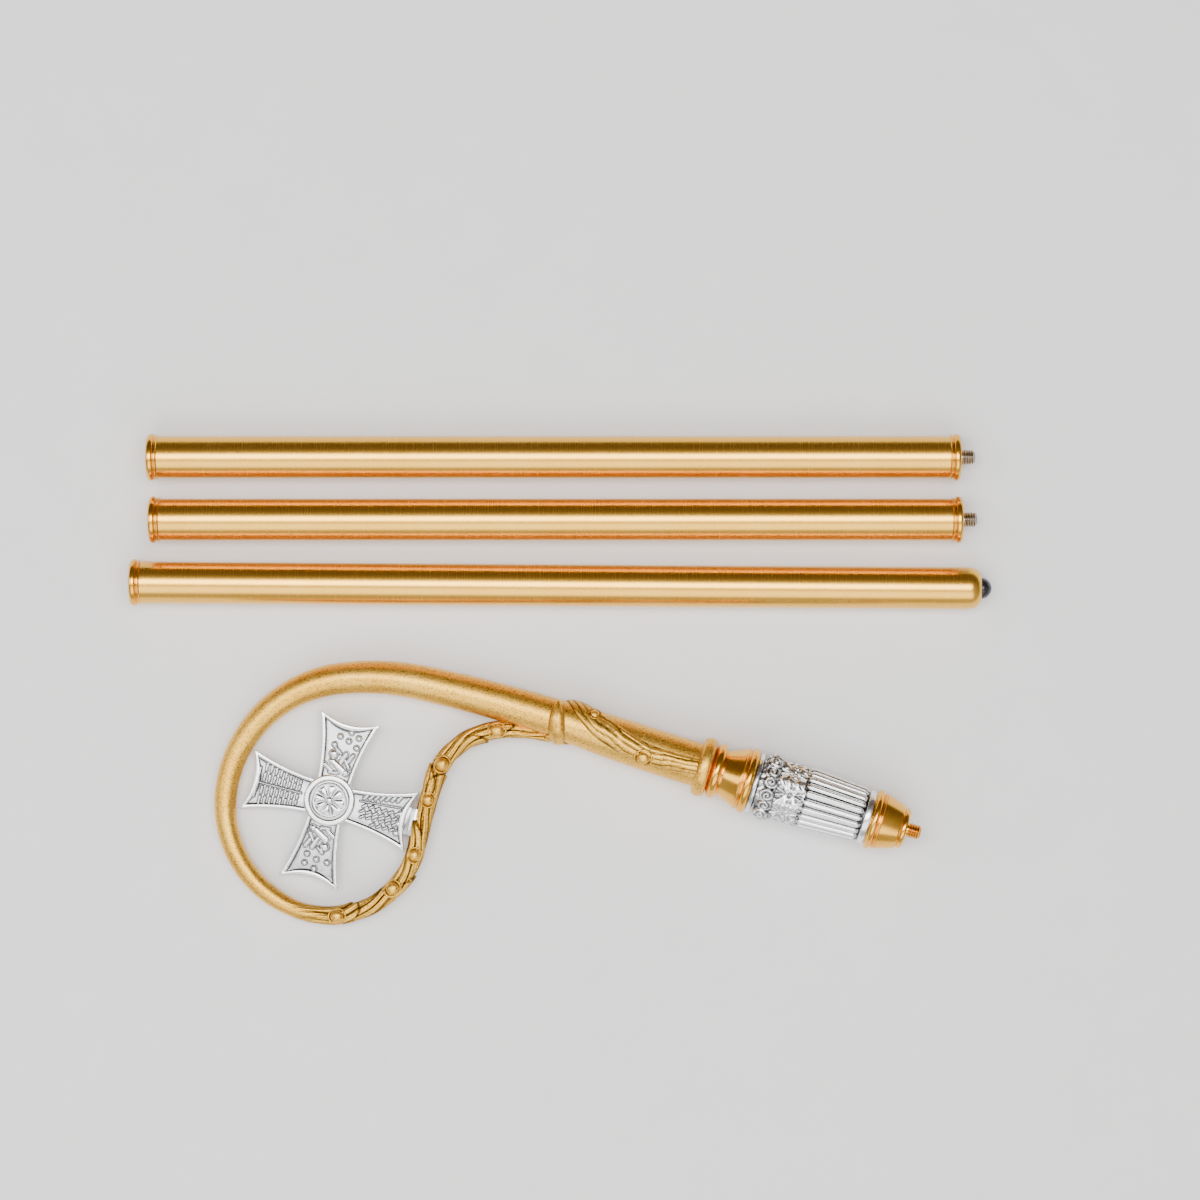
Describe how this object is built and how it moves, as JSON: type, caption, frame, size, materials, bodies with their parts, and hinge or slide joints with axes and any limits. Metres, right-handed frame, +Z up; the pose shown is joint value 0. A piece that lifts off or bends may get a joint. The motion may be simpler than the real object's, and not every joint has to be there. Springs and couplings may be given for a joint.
{
  "type": "bishop crosier",
  "caption": "Take-apart bishop crosier lying in its sections: gilt crook with a vine curl round a silver cross, silver knop, and brushed brass staff sections with screw ends.",
  "frame": {"origin": "on the resting plane, under the middle of the whole layout", "axes": "+X along the staff sections from their sockets to their studs, +Y from the crook towards the staff sections, +Z up"},
  "size_m": [0.5126, 0.2924, 0.0405],
  "materials": {
    "gilt": "satin, grained",
    "polished_brass": "polished",
    "brushed_brass": "brushed round the tube",
    "silver": "oxidised in the recesses",
    "steel": "machined thread",
    "rubber": "smooth"
  },
  "bodies": {
    "root": {"crook": "gilt", "cross": "silver", "upper_cup": "polished_brass", "silver_knop": "silver", "lower_cup": "polished_brass", "crook_stud": "polished_brass", "rod_1_socket_end": "polished_brass", "rod_1_tube": "brushed_brass", "rod_1_shoulder_end": "polished_brass", "rod_1_stud": "steel", "rod_2_socket_end": "polished_brass", "rod_2_tube": "brushed_brass", "rod_2_shoulder_end": "polished_brass", "rod_2_stud": "steel", "rod_3_socket_end": "polished_brass", "rod_3_tube": "brushed_brass", "rod_3_tip": "rubber"}
  },
  "joints": []
}
